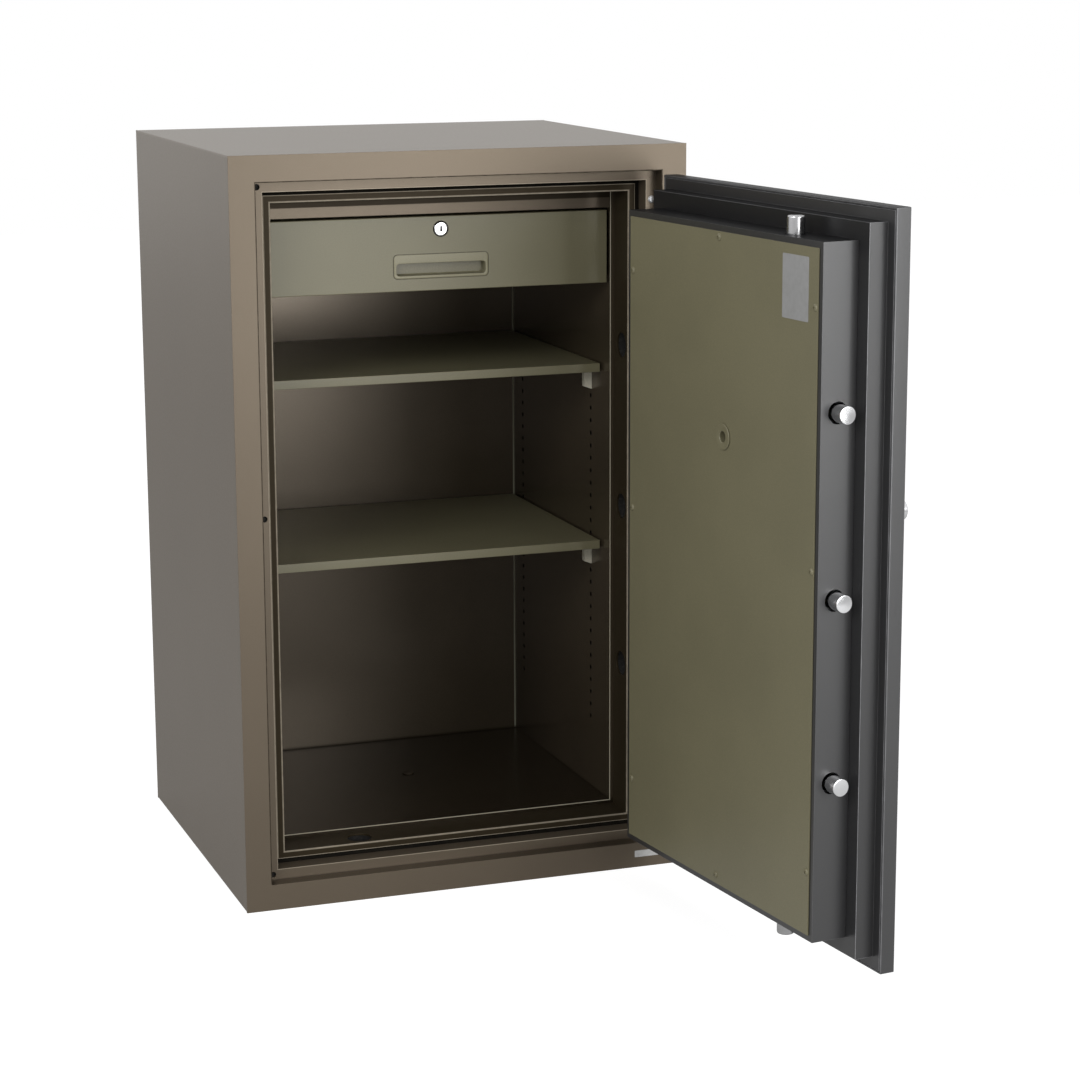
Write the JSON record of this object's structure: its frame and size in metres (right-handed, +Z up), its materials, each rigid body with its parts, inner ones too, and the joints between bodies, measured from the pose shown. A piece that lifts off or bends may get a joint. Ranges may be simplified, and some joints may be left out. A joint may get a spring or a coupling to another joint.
{
  "type": "fire-resistant safe",
  "caption": "Free-standing fire-resistant safe with an open stepped door, bolt work on all sides, two shelves, a lockable inner drawer, and a filled double-walled cabinet.",
  "frame": {"origin": "middle of the cabinet's underside, on the floor", "axes": "+Z up, +X to the right as seen from the front, front of the cabinet towards -Y"},
  "size_m": [0.7311, 1.1506, 1],
  "materials": {
    "bronze_paint": "fine hammered bronze-brown paint, semi-gloss",
    "lining_paint": "dark bronze-brown paint, semi-gloss",
    "khaki_paint": "olive-khaki paint, satin",
    "graphite_paint": "graphite-grey paint, semi-gloss",
    "chrome_plate": "polished",
    "bare_steel": "bare, satin",
    "brass_metal": "machined",
    "dial_black": "satin black",
    "black_seal": "matt",
    "fire_fill": "rough"
  },
  "bodies": {
    "cabinet": {"outer_shell": "bronze_paint", "back_panel": "bronze_paint", "front_frame": "bronze_paint", "inner_jamb": "bronze_paint", "frame_seal": "black_seal", "inner_lining": "lining_paint", "insulation_fill": "fire_fill", "drawer_header": "bronze_paint", "drawer_runner_left": "bare_steel", "drawer_runner_right": "bare_steel", "shelf_upper": "khaki_paint", "shelf_lower": "khaki_paint", "shelf_clip_upper_front_left": "khaki_paint", "shelf_clip_upper_front_right": "khaki_paint", "shelf_clip_upper_rear_left": "khaki_paint", "shelf_clip_upper_rear_right": "khaki_paint", "shelf_clip_lower_front_left": "khaki_paint", "shelf_clip_lower_front_right": "khaki_paint", "shelf_clip_lower_rear_left": "khaki_paint", "shelf_clip_lower_rear_right": "khaki_paint", "anchor_plug": "lining_paint", "hinge_upper_frame_knuckle": "graphite_paint", "hinge_lower_frame_knuckle": "graphite_paint", "hinge_upper_pin": "bare_steel", "hinge_lower_pin": "bare_steel"},
    "drawer": {"drawer_tray": "khaki_paint", "drawer_front": "khaki_paint", "drawer_pull": "khaki_paint", "drawer_lock_body": "chrome_plate"},
    "drawer_lock": {"drawer_lock_plug": "chrome_plate"},
    "door": {"door_skin": "graphite_paint", "door_step_pan": "graphite_paint", "door_insulation": "fire_fill", "bolt_box": "graphite_paint", "door_cover": "khaki_paint", "change_key_bush": "khaki_paint", "side_bolt_guide": "bare_steel", "top_bolt_guide": "bare_steel", "bottom_bolt_guide": "bare_steel", "hinge_side_bolt_upper": "chrome_plate", "hinge_side_bolt_middle": "chrome_plate", "hinge_side_bolt_lower": "chrome_plate", "hinge_upper_door_knuckle": "graphite_paint", "hinge_lower_door_knuckle": "graphite_paint", "handle_rose": "chrome_plate", "dial_ring": "chrome_plate", "lock_case": "bare_steel", "key_lock_body": "chrome_plate"},
    "handle": {"handle_lever": "chrome_plate", "crank_spindle": "bare_steel"},
    "carriage": {"bolt_carriage": "bare_steel", "side_bolt_upper": "chrome_plate", "side_bolt_middle": "chrome_plate", "side_bolt_lower": "chrome_plate"},
    "top_rod": {"top_bolt": "chrome_plate"},
    "bottom_rod": {"bottom_bolt": "chrome_plate"},
    "dial": {"dial_knob": "dial_black", "dial_spindle": "brass_metal"},
    "lock": {"lock_bolt": "brass_metal"},
    "key_plug": {"key_lock_plug": "brass_metal"}
  },
  "joints": [
    {"name": "door_hinge", "type": "hinge", "parent": "cabinet", "child": "door", "pos_m": [0.297, -0.299, 0.5], "axis": [0, 0, 1], "range_deg": [-96.8, 73.2]},
    {"name": "handle_turn", "type": "hinge", "parent": "door", "child": "handle", "pos_m": [0.3294, -0.7312, 0.578], "axis": [0.993, 0.1184, 0], "range_deg": [-60, 0]},
    {"name": "side_bolts_slide", "type": "slide", "parent": "door", "child": "carriage", "axis": [0.1184, -0.993, 0], "range_m": [-0.024, 0]},
    {"name": "top_bolt_slide", "type": "slide", "parent": "door", "child": "top_rod", "axis": [0, 0, 1], "range_m": [-0.024, 0]},
    {"name": "bottom_bolt_slide", "type": "slide", "parent": "door", "child": "bottom_rod", "axis": [0, 0, -1], "range_m": [-0.024, 0]},
    {"name": "dial_turn", "type": "hinge", "parent": "door", "child": "dial", "pos_m": [0.31804, -0.63588, 0.69], "axis": [0.993, 0.1184, 0], "continuous": true},
    {"name": "lock_bolt_slide", "type": "slide", "parent": "door", "child": "lock", "axis": [0.1184, -0.993, 0], "range_m": [0, 0.012]},
    {"name": "key_turn", "type": "hinge", "parent": "door", "child": "key_plug", "pos_m": [0.31508, -0.61106, 0.54], "axis": [0.993, 0.1184, 0], "range_deg": [0, 90]},
    {"name": "drawer_slide", "type": "slide", "parent": "cabinet", "child": "drawer", "axis": [0, -1, 0], "range_m": [0, 0.18]},
    {"name": "drawer_lock_turn", "type": "hinge", "parent": "drawer", "child": "drawer_lock", "pos_m": [0, -0.18, 0.8885], "axis": [0, -1, 0], "range_deg": [0, 90]}
  ],
  "couplings": [
    {"joint": "side_bolts_slide", "follows": "handle_turn", "m_per_rad": 0.022918},
    {"joint": "top_bolt_slide", "follows": "handle_turn", "m_per_rad": 0.022918},
    {"joint": "bottom_bolt_slide", "follows": "handle_turn", "m_per_rad": 0.022918}
  ]
}
